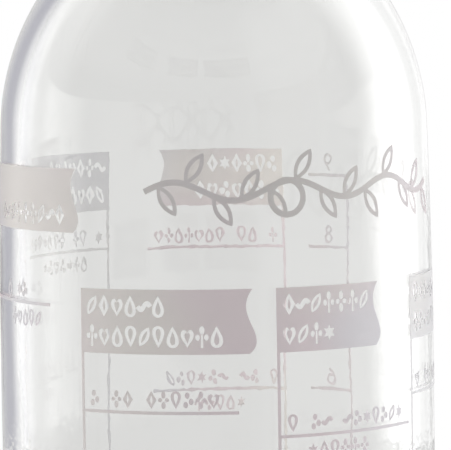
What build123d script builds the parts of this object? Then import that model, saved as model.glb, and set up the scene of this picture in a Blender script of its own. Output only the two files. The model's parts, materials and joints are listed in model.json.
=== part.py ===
from build123d import *
import os
from math import asin, cos, degrees, hypot, pi, radians, sin, sqrt

# A salad dressing shaker: a printed glass bottle with a screw lid, a pour insert and a flip cap.
# The bottle's axis is Z, it stands on the plane Z = 0, and the front with its spout faces -Y.
# Lengths are in millimetres and angles in degrees.

# Glass body
body_radius = 31.9
belly_top_height = 76.7
shoulder_draw_in = 0.6
shoulder_start_height = 115.2
shoulder_arc_radius = 37.0
body_wall = 2.75
heel_radius = 5.0
foot_ring_width = 3.0
push_up_height = 2.5
base_crown_thickness = 4.3
floor_edge_height = 4.8
floor_corner_radius = 8.0

# Glass neck and its finish
neck_radius = 17.6
neck_wall = 2.9
neck_fillet_radius = 7.0
rim_rounding = 1.2
bead_rise = 5.2
bead_half_width = 1.9
bead_reach = 1.7
thread_pitch = 4.2
thread_turns = 1.4
thread_start_rise = 5.3
thread_reach = 1.2
thread_root_width = 2.4
thread_crest_width = 1.0
thread_bury = 0.4
rim_margin = 4.651

# Enamel print on the glass
ink_gap = 0.05
ink_thickness = 0.1
rule_width = 0.45
banner_height = 9.0
banner_notch_depth = 0.92
banner_bulge_depth = 0.5
banner_corner_inset = 0.45
low_banner_top_height = 93.6
high_banner_rise = 16.6
print_foot_height = 12.0
tick_length = 8.4
fluid_ounce = 29573.5
fill_slices = 400

# Herb vine in the place of a title
vine_rise = 13.5
vine_wave_height = 1.3
vine_stem_width = 0.85
vine_leaf_length = 5.0
vine_leaf_width = 2.2
vine_loop_radius = 2.7
vine_loop_stroke = 0.85

# Screw collar of the lid
collar_wall = 2.5
collar_clearance = 0.4
collar_bead_gap = 0.8
collar_rib_root_width = 1.5
collar_rib_crest_width = 0.7
collar_rib_turns = 1.1
thread_play = 0.15
collar_deck_thickness = 2.2
collar_top_rounding = 1.4
collar_hole_radius = 12.6
flute_count = 44
flute_radius = 0.9
flute_depth = 0.45
flute_margin = 2.6

# Seal on the rim
gasket_thickness = 1.6
gasket_skirt_gap = 0.3
gasket_collar_gap = 0.5
seat_gap = 0.05

# Pour insert
insert_flange_thickness = 1.2
insert_flange_gap = 0.8
insert_skirt_gap = 0.6
insert_skirt_wall = 1.4
insert_skirt_depth = 6.0
insert_ring_wall = 1.1
insert_hole_gap = 0.3
insert_ring_rise = 1.0
insert_floor_thickness = 1.6
spout_offset = 6.0
spout_bore_radius = 3.6
spout_wall = 1.3
spout_rise = 5.2
spout_lip_reach = 0.9
spout_lip_thickness = 1.1
vent_offset = 7.2
vent_bore_radius = 1.2
vent_wall = 1.2
vent_rise = 0.8

# Flip cap and its hinge
cap_gap = 0.4
cap_inset = 0.5
cap_wall = 1.8
cap_side_height = 7.0
cap_crown_rise = 5.6
cap_draft_inset = 0.9
tab_width = 15.0
tab_reach = 3.2
tab_thickness = 2.0
boss_wall = 1.1
hinge_gap = 0.45
hinge_rise = 2.9
pin_radius = 1.0
pin_clearance = 0.04
knuckle_radius = 2.3
knuckle_width = 9.4
ear_gap = 0.3
ear_width = 3.0
ear_foot_drop = 7.4

# Silicone plugs in the flip cap
plug_gap = 0.15
plug_stem_depth = 2.4
plug_stem_clearance = 0.35
plug_tip_inset = 0.5
plug_head_thickness = 1.2
plug_head_overhang = 0.3
plug_peg_radius = 1.9
plug_peg_height = 2.2
vent_stem_depth = 1.2
vent_stem_clearance = 0.25
vent_tip_inset = 0.15
vent_peg_radius = 1.1

# One overrun serves every cut.
overrun = 1.0

# Recipe panels round the glass, by angle from the front towards +X. Each has its start angle, its
# banner's width, whether the banner hangs high, and its rules: height as a share of the way from the
# foot of the print to the banner's bottom, and length in degrees.
panel_shares = {
    "print_panel_1": (-36.4, 45.4, False, ((0.891, 41.6), (0.595, 40.0), (0.284, 42.0))),
    "print_panel_2": (15.0, 30.3, False, ((0.841, 43.4), (0.541, 36.0), (0.243, 30.0))),
    "print_panel_3": (59.9, 33.0, False, ((0.897, 36.0), (0.656, 32.0), (0.392, 35.0))),
    "print_panel_4": (158.9, 38.1, True, ((0.930, 42.0), (0.679, 41.0), (0.413, 38.0))),
    "print_panel_5": (214.0, 41.0, True, ((0.936, 41.5), (0.516, 40.0), (0.269, 41.0))),
    "print_panel_6": (262.0, 60.0, True, ((0.887, 50.7), (0.538, 44.0), (0.291, 46.0))),
}
# The wavy end of a banner, down from its top corner, as shares of the banner's height.
wave_shares = (0.30, 0.55, 0.81)
scale_angle = 135.6
scale_ounces = (2, 4, 6, 8, 9)
vine_start_angle = -18.0
vine_span_angle = 91.0
vine_waves = 3
vine_points_per_wave = 8
vine_leaf_count = 13
vine_leaf_lean_angle = 58.0
vine_loop_share = 0.4
rib_start_angle = 90.0

# Places worked out from the sizes above
side_rise = shoulder_start_height - belly_top_height
side_arc_radius = (side_rise**2 + shoulder_draw_in**2) / (2 * shoulder_draw_in)
side_centre = (body_radius - side_arc_radius, belly_top_height)
high_banner_top_height = low_banner_top_height + high_banner_rise
vine_height = low_banner_top_height + vine_rise
bore_radius = neck_radius - neck_wall
shoulder_tilt = asin(side_rise / side_arc_radius)
shoulder_centre = (
    side_centre[0] + (side_arc_radius - shoulder_arc_radius) * cos(shoulder_tilt),
    side_centre[1] + (side_arc_radius - shoulder_arc_radius) * sin(shoulder_tilt),
)
neck_across = neck_radius + neck_fillet_radius - shoulder_centre[0]
neck_foot_height = shoulder_centre[1] + sqrt(
    (shoulder_arc_radius + neck_fillet_radius) ** 2 - neck_across**2
)
bead_height = neck_foot_height + bead_rise
thread_start_height = bead_height + thread_start_rise
rim_height = thread_start_height + thread_pitch * thread_turns + rim_margin
collar_inner_radius = neck_radius + thread_reach + collar_clearance
collar_outer_radius = collar_inner_radius + collar_wall
collar_bottom = bead_height + bead_half_width + collar_bead_gap
gasket_bottom = rim_height + seat_gap
flange_bottom = gasket_bottom + gasket_thickness + seat_gap
deck_bottom = flange_bottom + insert_flange_thickness + seat_gap
deck_top = deck_bottom + collar_deck_thickness
spout_top = deck_top + spout_rise
vent_top = deck_top + vent_rise
cap_bottom = deck_top + cap_gap
cap_radius = collar_outer_radius - cap_inset
cap_side_top = cap_bottom + cap_side_height
cap_top = cap_side_top + cap_crown_rise
hinge_y = cap_radius + hinge_gap + knuckle_radius
hinge_z = deck_top + hinge_rise
ear_inner = knuckle_width / 2 + ear_gap
ear_outer = ear_inner + ear_width

UPRIGHT = (Align.CENTER, Align.CENTER, Align.MIN)


def side_radius(height, inset):
    """Radius of the body's side at a height: plain to the belly's top, then drawn in by an arc."""
    if height < belly_top_height:
        return body_radius - inset
    return side_centre[0] + sqrt((side_arc_radius - inset) ** 2 - (height - belly_top_height) ** 2)


def arc_about(centre, start, end):
    """Arc about a centre from start to end, the short way round."""
    radius = hypot(start[0] - centre[0], start[1] - centre[1])
    x = start[0] + end[0] - 2 * centre[0]
    y = start[1] + end[1] - 2 * centre[1]
    reach = radius / hypot(x, y)
    return ThreePointArc(start, (centre[0] + x * reach, centre[1] + y * reach), end)


def shallow_arc(crown, edge):
    """Arc that is level at the axis, from its crown there to its edge."""
    drop = crown[1] - edge[1]
    radius = (edge[0] ** 2 + drop**2) / (2 * drop)
    return arc_about((0, crown[1] - radius), crown, edge)


def turned(edges):
    """Solid of revolution about Z from the edges of its half section."""
    return revolve(Plane.XZ * make_face(Curve() + edges), Axis.Z)


def ring(inner, outer, bottom, top):
    """Plain ring about the axis."""
    solid = Pos(0, 0, bottom) * Cylinder(outer, top - bottom, align=UPRIGHT)
    hole = Pos(0, 0, bottom - overrun) * Cylinder(inner, top - bottom + 2 * overrun, align=UPRIGHT)
    return solid - hole


def post(radius, bottom, top, y=0):
    """Upright round post at a place along Y."""
    return Pos(0, y, bottom) * Cylinder(radius, top - bottom, align=UPRIGHT)


def cone_post(low_radius, high_radius, bottom, top, y):
    """Upright tapering post at a place along Y."""
    return Pos(0, y, bottom) * Cone(low_radius, high_radius, top - bottom, align=UPRIGHT)


def ridge(path_radius, foot, tip, root_width, crest_width, start_height, start_angle, turns):
    """Helical ridge about Z whose section narrows from its foot radius to its tip radius."""
    path = Helix(thread_pitch, thread_pitch * turns, path_radius)
    section = Polyline(
        (foot, -root_width / 2),
        (tip, -crest_width / 2),
        (tip, crest_width / 2),
        (foot, root_width / 2),
        close=True,
    )
    bar = sweep(Plane.XZ * make_face(section), path=path, is_frenet=True)
    return Pos(0, 0, start_height) * Rot(0, 0, start_angle) * bar


def shoulder_edges(inset, neck, fillet):
    """Body arc, shoulder arc and neck fillet of one face of the glass, and the point where they end."""
    start = (
        side_centre[0] + (side_arc_radius - inset) * cos(shoulder_tilt),
        side_centre[1] + (side_arc_radius - inset) * sin(shoulder_tilt),
    )
    radius = shoulder_arc_radius - inset
    across = neck + fillet - shoulder_centre[0]
    fillet_centre = (neck + fillet, shoulder_centre[1] + sqrt((radius + fillet) ** 2 - across**2))
    share = radius / (radius + fillet)
    meet = (
        shoulder_centre[0] + (fillet_centre[0] - shoulder_centre[0]) * share,
        shoulder_centre[1] + (fillet_centre[1] - shoulder_centre[1]) * share,
    )
    neck_foot = (neck, fillet_centre[1])
    belly = (body_radius - inset, belly_top_height)
    edges = [
        arc_about(side_centre, belly, start),
        arc_about(shoulder_centre, start, meet),
        arc_about(fillet_centre, meet, neck_foot),
    ]
    return edges, belly, neck_foot


def outside_edges():
    """Outer face of the glass, from the axis under the base to the middle of the rim."""
    edges, belly, neck_foot = shoulder_edges(0, neck_radius, neck_fillet_radius)
    heel_x = body_radius - heel_radius
    foot_inner = heel_x - foot_ring_width
    bead_low = (neck_radius, bead_height - bead_half_width)
    bead_high = (neck_radius, bead_height + bead_half_width)
    rim_side = (neck_radius, rim_height - rim_rounding)
    rim_top = (neck_radius - rim_rounding, rim_height)
    return [
        shallow_arc((0, push_up_height), (foot_inner, 0)),
        Line((foot_inner, 0), (heel_x, 0)),
        arc_about((heel_x, heel_radius), (heel_x, 0), (body_radius, heel_radius)),
        Line((body_radius, heel_radius), belly),
        *edges,
        Line(neck_foot, bead_low),
        ThreePointArc(bead_low, (neck_radius + bead_reach, bead_height), bead_high),
        Line(bead_high, rim_side),
        arc_about((rim_top[0], rim_side[1]), rim_side, rim_top),
    ]


def inside_edges():
    """Inner face of the glass, from the rim to the axis on the floor."""
    edges, belly, neck_foot = shoulder_edges(body_wall, bore_radius, neck_fillet_radius + neck_wall)
    rim_top = (bore_radius + rim_rounding, rim_height)
    rim_side = (bore_radius, rim_height - rim_rounding)
    corner_x = belly[0] - floor_corner_radius
    corner_z = floor_edge_height + floor_corner_radius
    crown = (0, push_up_height + base_crown_thickness)
    return [
        Line((neck_radius - rim_rounding, rim_height), rim_top),
        arc_about((rim_top[0], rim_side[1]), rim_top, rim_side),
        Line(rim_side, neck_foot),
        *edges,
        Line(belly, (belly[0], corner_z)),
        arc_about((corner_x, corner_z), (belly[0], corner_z), (corner_x, floor_edge_height)),
        shallow_arc(crown, (corner_x, floor_edge_height)),
        Line(crown, (0, push_up_height)),
    ]


def glass_bottle():
    """Bottle in one piece: pushed-up base, straight belly, round shoulder and threaded neck."""
    thread = ridge(
        neck_radius,
        neck_radius - thread_bury,
        neck_radius + thread_reach,
        thread_root_width,
        thread_crest_width,
        thread_start_height,
        0,
        thread_turns,
    )
    return turned(outside_edges() + inside_edges()) + thread


def floor_loss():
    """Volume that the floor's rounded corner and crown take from a flat floor at its edge height."""
    inner = body_radius - body_wall
    corner = floor_corner_radius
    straight = pi * inner**2 * corner
    middle = inner - corner
    rounded = pi * (middle**2 * corner + pi * middle * corner**2 / 2 + 2 * corner**3 / 3)
    rise = push_up_height + base_crown_thickness - floor_edge_height
    crown = pi * rise * (3 * middle**2 + rise**2) / 6
    return straight - rounded + crown


def fill_height(ounces):
    """Height of the liquid's surface when the bottle holds so many fluid ounces."""
    target = ounces * fluid_ounce
    height = floor_edge_height + (target + floor_loss()) / (pi * (body_radius - body_wall) ** 2)
    if height <= belly_top_height:
        return height
    slice_height = side_rise / fill_slices
    held = pi * (body_radius - body_wall) ** 2 * (belly_top_height - floor_edge_height) - floor_loss()
    height = belly_top_height
    while held < target:
        held += pi * side_radius(height, body_wall) ** 2 * slice_height
        height += slice_height
    return height


def ink_shell():
    """Thin layer of enamel that follows the body and shoulder of the glass all the way round."""
    foot = print_foot_height - overrun
    edges = []
    ends = []
    for lift in (ink_gap, ink_gap + ink_thickness):
        arcs, belly, top = shoulder_edges(-lift, neck_radius + lift, neck_fillet_radius - lift)
        low = (belly[0], foot)
        edges += [Line(low, belly), *arcs]
        ends.append((low, top))
    (inner_low, inner_top), (outer_low, outer_top) = ends
    return turned(edges + [Line(inner_low, outer_low), Line(inner_top, outer_top)])


def press_on_glass(drawing, middle_angle, shell):
    """Wraps a flat drawing on the glass, seen square-on from its middle angle."""
    reach = body_radius + ink_thickness + overrun
    return (Rot(0, 0, middle_angle) * extrude(Plane.XZ * drawing, amount=reach)) & shell


def print_panel(start_angle, width_angle, high, rules, shell):
    """Banner with a wavy end, a pole down its left side, and rules out from the pole."""
    top = high_banner_top_height if high else low_banner_top_height
    radius = side_radius(top, 0)
    middle = max([width_angle] + [length for _, length in rules]) / 2
    pole = -radius * sin(radians(middle))
    pole_side = pole + rule_width
    end = radius * sin(radians(width_angle - middle))
    bottom = top - banner_height
    notch, cross, bulge = (top - banner_height * share for share in wave_shares)
    corner = (end - banner_corner_inset, bottom)
    wave = Spline(
        (end, top),
        (end - banner_notch_depth, notch),
        (end - banner_corner_inset / 2, cross),
        (end + banner_bulge_depth, bulge),
        corner,
    )
    steps = [corner, (pole_side, bottom)]
    for height_share, length in rules:
        rule_top = print_foot_height + height_share * (bottom - print_foot_height)
        rule_end = radius * sin(radians(length - middle))
        steps += [
            (pole_side, rule_top),
            (rule_end, rule_top),
            (rule_end, rule_top - rule_width),
            (pole_side, rule_top - rule_width),
        ]
    steps += [(pole_side, print_foot_height), (pole, print_foot_height), (pole, top), (end, top)]
    drawing = make_face(Curve() + [wave, Polyline(*steps)])
    return press_on_glass(drawing, start_angle + middle, shell)


def print_scale(shell):
    """Upright line, up to the highest of its ticks, with one tick at each measure of the liquid."""
    half = tick_length / 2
    line_side = rule_width - half
    points = [(-half, print_foot_height), (line_side, print_foot_height)]
    for ounces in scale_ounces:
        low = fill_height(ounces) - rule_width / 2
        high = low + rule_width
        points += [(line_side, low), (half, low), (half, high), (line_side, high)]
    points.append((-half, high))
    middle = scale_angle + degrees(asin(half / body_radius))
    return press_on_glass(make_face(Polyline(*points, close=True)), middle, shell)


def vine_point(share, offset=0):
    """Point of the vine's stem at a share of its span, moved up by an offset."""
    angle = radians((share - 1 / 2) * vine_span_angle)
    height = vine_height + vine_wave_height * sin(2 * pi * vine_waves * share)
    return (side_radius(vine_height, 0) * sin(angle), height + offset)


def vine_leaf(base, direction, flatten):
    """Pointed leaf from its base on the stem, narrowed where the glass turns away."""
    reach = (vine_leaf_length * cos(direction) * flatten, vine_leaf_length * sin(direction))
    side = (vine_leaf_width / 2 * sin(direction) * flatten, -vine_leaf_width / 2 * cos(direction))
    tip = (base[0] + reach[0], base[1] + reach[1])
    middle = (base[0] + reach[0] / 2, base[1] + reach[1] / 2)
    one_side = ThreePointArc(base, (middle[0] + side[0], middle[1] + side[1]), tip)
    other_side = ThreePointArc(tip, (middle[0] - side[0], middle[1] - side[1]), base)
    return make_face(Curve() + [one_side, other_side])


def print_title_vine(shell):
    """Herb vine along the shoulder's edge: a waving stem, leaves to both sides and one hanging loop."""
    half = vine_stem_width / 2
    count = vine_points_per_wave * vine_waves
    shares = [i / count for i in range(count + 1)]
    upper = Spline(*[vine_point(share, half) for share in shares])
    lower = Spline(*[vine_point(share, -half) for share in reversed(shares)])
    ends = [
        Line(vine_point(1, half), vine_point(1, -half)),
        Line(vine_point(0, -half), vine_point(0, half)),
    ]
    drawing = make_face(Curve() + [upper, ends[0], lower, ends[1]])
    for i in range(vine_leaf_count):
        share = (i + 1 / 2) / vine_leaf_count
        direction = radians(vine_leaf_lean_angle if i % 2 else -vine_leaf_lean_angle)
        flatten = cos(radians((share - 1 / 2) * vine_span_angle))
        drawing += vine_leaf(vine_point(share), direction, flatten)
    loop_x, loop_z = vine_point(vine_loop_share, -vine_loop_radius + half)
    loop = Circle(vine_loop_radius) - Circle(vine_loop_radius - vine_loop_stroke)
    drawing += Pos(loop_x, loop_z) * loop
    return press_on_glass(drawing, vine_start_angle + vine_span_angle / 2, shell)


def hinge_ear():
    """Side view of a hinge ear: a foot on the collar's back, rising to a round eye at the pin."""
    root_y = collar_outer_radius - collar_wall / 2
    foot = hinge_z - ear_foot_drop
    back = hinge_y + knuckle_radius
    front = hinge_y - knuckle_radius
    sides = Polyline(
        (back, hinge_z),
        (back, foot + knuckle_radius * 2),
        (root_y, foot),
        (root_y, deck_top),
        (front, deck_top),
        (front, hinge_z),
    )
    eye = ThreePointArc((front, hinge_z), (hinge_y, hinge_z + knuckle_radius), (back, hinge_z))
    return make_face(Curve() + [sides, eye])


def across_hinge(radius, length):
    """Cylinder along the hinge's axis."""
    return Pos(0, hinge_y, hinge_z) * Rot(0, 90, 0) * Cylinder(radius, length)


def screw_collar():
    """Lid ring with an inside thread, finger flutes, a deck with a hole, and two hinge ears."""
    rounding_centre = (collar_outer_radius - collar_top_rounding, deck_top - collar_top_rounding)
    shoulder = (rounding_centre[0], deck_top)
    side = (collar_outer_radius, rounding_centre[1])
    body = Polyline(
        shoulder,
        (collar_hole_radius, deck_top),
        (collar_hole_radius, deck_bottom),
        (collar_inner_radius, deck_bottom),
        (collar_inner_radius, collar_bottom),
        (collar_outer_radius, collar_bottom),
        side,
    )
    collar = turned([body, arc_about(rounding_centre, side, shoulder)])
    flute_height = deck_top - flute_margin - collar_bottom + overrun
    flute = Pos(0, 0, collar_bottom - overrun) * Cylinder(flute_radius, flute_height, align=UPRIGHT)
    places = PolarLocations(collar_outer_radius + flute_radius - flute_depth, flute_count, 180 / flute_count)
    collar -= [place * flute for place in places]
    for low_x in (-ear_outer, ear_inner):
        collar += Pos(low_x, 0, 0) * extrude(Plane.YZ * hinge_ear(), amount=ear_width)
    collar -= across_hinge(pin_radius + pin_clearance, 2 * (ear_outer + overrun))
    rib_drop = (thread_root_width + collar_rib_crest_width) / 2 + thread_play
    rib = ridge(
        collar_inner_radius,
        collar_inner_radius + thread_bury,
        neck_radius + collar_clearance,
        collar_rib_root_width,
        collar_rib_crest_width,
        thread_start_height + thread_pitch * rib_start_angle / 360 - rib_drop,
        rib_start_angle,
        collar_rib_turns,
    )
    return collar + rib


def rim_gasket():
    """Flat silicone ring between the rim of the glass and the pour insert."""
    inner = bore_radius - insert_skirt_gap + gasket_skirt_gap
    outer = collar_inner_radius - gasket_collar_gap
    return ring(inner, outer, gasket_bottom, gasket_bottom + gasket_thickness)


def pour_insert():
    """Moulded insert: flange under the deck, skirt in the neck, drip ring, spout and air vent."""
    ring_radius = collar_hole_radius - insert_hole_gap
    skirt_radius = bore_radius - insert_skirt_gap
    spout_radius = spout_bore_radius + spout_wall
    lip_radius = spout_radius + spout_lip_reach
    lip_bottom = spout_top - spout_lip_thickness
    flange_radius = collar_inner_radius - insert_flange_gap
    skirt_bottom = flange_bottom - insert_skirt_depth
    insert = post(flange_radius, flange_bottom, flange_bottom + insert_flange_thickness)
    insert += post(ring_radius, flange_bottom, flange_bottom + insert_floor_thickness)
    insert += ring(ring_radius - insert_ring_wall, ring_radius, flange_bottom, deck_top + insert_ring_rise)
    insert += ring(skirt_radius - insert_skirt_wall, skirt_radius, skirt_bottom, flange_bottom + overrun)
    insert += post(spout_radius, flange_bottom, spout_top, -spout_offset)
    insert += cone_post(spout_radius, lip_radius, lip_bottom - spout_lip_reach, lip_bottom, -spout_offset)
    insert += post(lip_radius, lip_bottom, spout_top, -spout_offset)
    insert += post(vent_bore_radius + vent_wall, flange_bottom, vent_top, vent_offset)
    insert -= post(spout_bore_radius, flange_bottom - overrun, spout_top + overrun, -spout_offset)
    return insert - post(vent_bore_radius, flange_bottom - overrun, vent_top + overrun, vent_offset)


def dome(inset, foot_drop):
    """Solid dome of the flip cap, inset by a wall, with its foot lowered."""
    foot = (cap_radius - inset, cap_bottom - foot_drop)
    side = (cap_radius - cap_draft_inset - inset, cap_side_top)
    crown = (0, cap_top - inset)
    waist = (side[0] * cos(pi / 4), side[1] + (crown[1] - side[1]) * sin(pi / 4))
    top = Spline(side, waist, crown, tangents=((0, 1), (-1, 0)))
    return turned([top, Polyline(crown, (0, foot[1]), foot, side)])


def plug_seats():
    """Bore radius, wall, top and place along Y of the two tubes that the plugs close."""
    spout = (spout_bore_radius, spout_wall, spout_top, -spout_offset)
    vent = (vent_bore_radius, vent_wall, vent_top, vent_offset)
    return spout, vent


def flip_cap():
    """Domed cap with a hinge knuckle behind, a thumb tab in front and a socket for each plug."""
    cap = dome(0, 0)
    tab_length = tab_reach + cap_wall
    tab = Box(tab_width, tab_length, tab_thickness, align=(Align.CENTER, Align.MAX, Align.MIN))
    tab = Pos(0, cap_wall - cap_radius, cap_bottom) * tab
    cap += tab & post(cap_radius + tab_reach, cap_bottom, cap_bottom + tab_thickness)
    arm_length = hinge_y - cap_radius + cap_wall + cap_draft_inset
    arm = Box(knuckle_width, arm_length, 2 * knuckle_radius, align=(Align.CENTER, Align.MAX, Align.CENTER))
    cap += Pos(0, hinge_y, hinge_z) * arm
    cap += across_hinge(knuckle_radius, knuckle_width)
    cap -= dome(cap_wall, overrun)
    cap -= across_hinge(pin_radius + pin_clearance, knuckle_width + 2 * overrun)
    roof = dome(cap_wall / 2, 0)
    for (_, _, seat, y), peg in zip(plug_seats(), (plug_peg_radius, vent_peg_radius)):
        head_top = seat + plug_gap + plug_head_thickness
        cap += post(peg + boss_wall, head_top + seat_gap, cap_top, y) & roof
        cap -= post(peg + seat_gap, head_top, head_top + plug_peg_height + seat_gap, y)
    return cap


def plug(seat, depth, clearance, taper, peg):
    """Silicone plug: a tapering stem down in a bore, a head above it and a peg up in the cap."""
    bore, wall, tube_top, y = seat
    stem = bore - clearance
    head_bottom = tube_top + plug_gap
    head_top = head_bottom + plug_head_thickness
    solid = cone_post(stem - taper, stem, head_bottom - depth, head_bottom, y)
    solid += post(bore + wall + plug_head_overhang, head_bottom, head_top, y)
    return solid + post(peg, head_bottom, head_top + plug_peg_height, y)


def build():
    """Makes every sub-part and writes one file for each."""
    shell = ink_shell()
    spout, vent = plug_seats()
    nodes = {
        "glass_bottle": glass_bottle(),
        "screw_collar": screw_collar(),
        "rim_gasket": rim_gasket(),
        "pour_insert": pour_insert(),
        "flip_cap": flip_cap(),
        "spout_plug": plug(spout, plug_stem_depth, plug_stem_clearance, plug_tip_inset, plug_peg_radius),
        "vent_plug": plug(vent, vent_stem_depth, vent_stem_clearance, vent_tip_inset, vent_peg_radius),
        "hinge_pin": across_hinge(pin_radius, 2 * ear_outer),
        "print_title_vine": print_title_vine(shell),
        "print_scale": print_scale(shell),
    }
    for name, (start_angle, width_angle, high, rules) in panel_shares.items():
        nodes[name] = print_panel(start_angle, width_angle, high, rules, shell)
    os.makedirs("parts", exist_ok=True)
    for name, shape in nodes.items():
        export_step(shape, f"parts/{name}.step")


build()
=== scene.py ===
"""Look of a salad dressing shaker: a printed clear glass bottle under a satin screw lid with a flip cap.

Lengths are millimetres until a mesh is made, which is in metres. Angles round the bottle are degrees from
the front, which faces -Y, and grow towards +X. Materials count in metres.
"""

from __future__ import annotations

import json
import logging
import math
import sys
from dataclasses import dataclass
from enum import Enum
from typing import Any, Sequence, Union

import bmesh
import bpy
import numpy as np
from bpy.types import ID, Material, Mesh, Node, NodeSocket, NodeTree, Object
from mathutils import Matrix, Vector
from mathutils.geometry import delaunay_2d_cdt

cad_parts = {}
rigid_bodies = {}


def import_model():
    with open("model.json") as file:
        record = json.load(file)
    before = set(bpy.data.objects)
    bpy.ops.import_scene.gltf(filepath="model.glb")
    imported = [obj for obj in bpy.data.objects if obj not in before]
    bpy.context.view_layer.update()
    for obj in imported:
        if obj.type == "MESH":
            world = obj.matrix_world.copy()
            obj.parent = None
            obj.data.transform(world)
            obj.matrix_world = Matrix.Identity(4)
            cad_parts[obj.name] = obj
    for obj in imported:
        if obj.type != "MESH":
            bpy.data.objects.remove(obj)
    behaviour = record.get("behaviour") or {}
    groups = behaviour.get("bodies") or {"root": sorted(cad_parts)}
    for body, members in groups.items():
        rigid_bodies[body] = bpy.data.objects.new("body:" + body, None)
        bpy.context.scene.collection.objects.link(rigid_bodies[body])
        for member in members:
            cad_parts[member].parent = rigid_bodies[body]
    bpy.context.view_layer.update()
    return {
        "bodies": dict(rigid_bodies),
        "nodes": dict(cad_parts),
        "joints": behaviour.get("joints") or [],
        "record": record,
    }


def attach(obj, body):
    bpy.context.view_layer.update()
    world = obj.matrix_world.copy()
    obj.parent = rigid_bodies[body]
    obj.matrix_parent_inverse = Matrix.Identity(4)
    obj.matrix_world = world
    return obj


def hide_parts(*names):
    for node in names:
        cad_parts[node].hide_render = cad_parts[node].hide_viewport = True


LOG = logging.getLogger("shaker")
MM = 0.001
CAMERA_RAY = ("Is Camera Ray",)
DIRECT_RAYS = ("Is Camera Ray", "Is Glossy Ray", "Is Transmission Ray")
Loop = np.ndarray
Pair = tuple[float, float]
Triple = tuple[float, float, float]
Number = Union[float, "Value"]


class Slot(Enum):
    """Material slots of the record."""

    GLASS = "clear_glass"
    PRINT = "enamel_print"
    LID = "lid_plastic"
    INSERT = "insert_plastic"
    SEAL = "seal_silicone"
    PIN = "pin_steel"


class Body(Enum):
    """Moving bodies that the pieces ride on."""

    BOTTLE = "bottle"
    SEAL = "seal"
    LID = "lid"
    CAP = "cap"


class Ink(Enum):
    """Tones of the print."""

    PINK = "pink_ink"
    GREY = "grey_ink"
    DARK = "dark_ink"


class Mark(Enum):
    """Plain signs that fill the banners and the lines of the print."""

    LEAF = "leaf"
    DROP = "drop"
    SEEDS = "seeds"
    DIAMOND = "diamond"
    SPRIG = "sprig"
    BUD = "bud"
    WAVE = "wave"
    HEART = "heart"
    STAR = "star"
    FLOWER = "flower"


class Value:
    """A number socket that takes part in Python sums, each of which adds a Math node."""

    def __init__(self, tree: Tree, socket: NodeSocket) -> None:
        """Keeps the tree and the socket."""
        self.tree = tree
        self.socket = socket

    def __add__(self, other: Number) -> Value:
        """Adds."""
        return self.tree.calculate("ADD", self, other)

    def __sub__(self, other: Number) -> Value:
        """Subtracts."""
        return self.tree.calculate("SUBTRACT", self, other)

    def __mul__(self, other: Number) -> Value:
        """Multiplies."""
        return self.tree.calculate("MULTIPLY", self, other)

    def __rsub__(self, other: Number) -> Value:
        """Subtracts this from a number."""
        return self.tree.calculate("SUBTRACT", other, self)

    __radd__ = __add__
    __rmul__ = __mul__

    def step(self, low: float, high: float) -> Value:
        """Goes smoothly from 0 at low to 1 at high; low may be the greater."""
        inputs = {0: self, 1: min(low, high), 2: max(low, high), 3: 0.0, 4: 1.0}
        made = self.tree.value("ShaderNodeMapRange", {"interpolation_type": "SMOOTHSTEP"}, inputs)
        return 1 - made if low > high else made


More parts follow.
